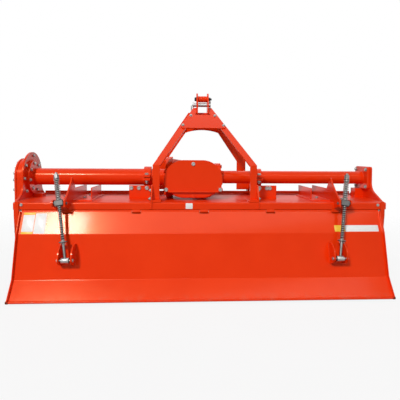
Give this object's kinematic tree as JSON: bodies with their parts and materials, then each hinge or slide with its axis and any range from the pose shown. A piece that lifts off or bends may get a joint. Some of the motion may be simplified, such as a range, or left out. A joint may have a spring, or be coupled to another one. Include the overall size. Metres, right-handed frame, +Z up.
{
  "type": "rotary tiller",
  "caption": "Three-point-hitch rotary tiller with a side-driven rotor, central gearbox and a sprung, hinged tailgate.",
  "frame": {"origin": "centre of the machine's base, on the ground", "axes": "+X to the right seen from behind, +Y the direction of travel, +Z up"},
  "size_m": [2.069, 0.7496, 1.098],
  "materials": {
    "orange_paint": "glossy",
    "rotor_paint": "satin",
    "zinc_plate": "zinc plated",
    "bare_steel": "machined",
    "guard_plastic": "matte"
  },
  "bodies": {
    "frame": {"cross_tube_left": "orange_paint", "cross_tube_right": "orange_paint", "gearbox_housing": "orange_paint", "change_gear_case": "orange_paint", "gear_shield": "orange_paint", "shaft_guard": "guard_plastic", "deck": "orange_paint", "deck_front_bar": "orange_paint", "side_plate_left": "orange_paint", "side_plate_right": "orange_paint", "side_gear_case": "orange_paint", "side_case_cover": "orange_paint", "rotor_bearing_right": "orange_paint", "hinge_rod": "zinc_plate", "hinge_knuckles": "orange_paint", "mast_rear_plate": "orange_paint", "mast_front_plate": "orange_paint", "top_link_clevis": "orange_paint", "top_link_pin": "zinc_plate", "spring_bracket_left": "orange_paint", "spring_bracket_right": "orange_paint", "mast_stay_left": "orange_paint", "mast_stay_right": "orange_paint", "mast_front_leg_left": "orange_paint", "mast_front_leg_right": "orange_paint", "mast_foot_left": "orange_paint", "mast_foot_right": "orange_paint", "tube_clamp_left": "orange_paint", "tube_clamp_right": "orange_paint", "hitch_bracket_left": "orange_paint", "hitch_bracket_right": "orange_paint", "lower_hitch_pin_left": "zinc_plate", "lower_hitch_pin_right": "zinc_plate", "deck_saddle_left": "orange_paint", "deck_saddle_right": "orange_paint", "skid_left": "orange_paint", "skid_right": "orange_paint"},
    "rotor": {"rotor": "rotor_paint"},
    "input_shaft": {"input_shaft": "bare_steel"},
    "tailgate": {"tailgate": "orange_paint", "tailgate_ears_left": "orange_paint", "tailgate_ears_right": "orange_paint", "eye_pin_left": "zinc_plate", "eye_pin_right": "zinc_plate"},
    "trunnion_left": {"trunnion_left": "zinc_plate", "upper_spring_left": "zinc_plate"},
    "trunnion_right": {"trunnion_right": "zinc_plate", "upper_spring_right": "zinc_plate"},
    "hanger_left": {"hanger_rod_left": "zinc_plate", "lower_spring_left": "zinc_plate"},
    "hanger_right": {"hanger_rod_right": "zinc_plate", "lower_spring_right": "zinc_plate"}
  },
  "joints": [
    {"name": "rotor_spin", "type": "hinge", "parent": "frame", "child": "rotor", "pos_m": [0.0105, 0.07184, 0.216], "axis": [1, 0, 0], "continuous": true},
    {"name": "input_spin", "type": "hinge", "parent": "frame", "child": "input_shaft", "pos_m": [0.0165, 0.31184, 0.582], "axis": [0, 1, 0], "continuous": true},
    {"name": "tailgate_hinge", "type": "hinge", "parent": "frame", "child": "tailgate", "pos_m": [0.0105, -0.19016, 0.423], "axis": [-1, 0, 0], "range_deg": [0, 50]},
    {"name": "trunnion_left_turn", "type": "hinge", "parent": "frame", "child": "trunnion_left", "pos_m": [-0.7155, -0.24816, 0.473], "axis": [-0.9963, -0.0854, 0], "range_deg": [0, 49.75]},
    {"name": "hanger_left_slide", "type": "slide", "parent": "trunnion_left", "child": "hanger_left", "axis": [-0.184, 0.2831, 0.9413], "range_m": [0, 0.0664], "deforming": ["lower_spring_left"]},
    {"name": "trunnion_right_turn", "type": "hinge", "parent": "frame", "child": "trunnion_right", "pos_m": [0.7365, -0.24816, 0.473], "axis": [-0.9963, 0.0854, 0], "range_deg": [0, 49.75]},
    {"name": "hanger_right_slide", "type": "slide", "parent": "trunnion_right", "child": "hanger_right", "axis": [0.184, 0.2831, 0.9413], "range_m": [0, 0.0664], "deforming": ["lower_spring_right"]}
  ],
  "couplings": [
    {"joint": "input_spin", "follows": "rotor_spin", "ratio": -2.4545},
    {"joint": "trunnion_left_turn", "follows": "tailgate_hinge", "ratio": 0.975},
    {"joint": "hanger_left_slide", "follows": "tailgate_hinge", "m_per_rad": 0.0715},
    {"joint": "trunnion_right_turn", "follows": "tailgate_hinge", "ratio": 0.975},
    {"joint": "hanger_right_slide", "follows": "tailgate_hinge", "m_per_rad": 0.0715}
  ]
}
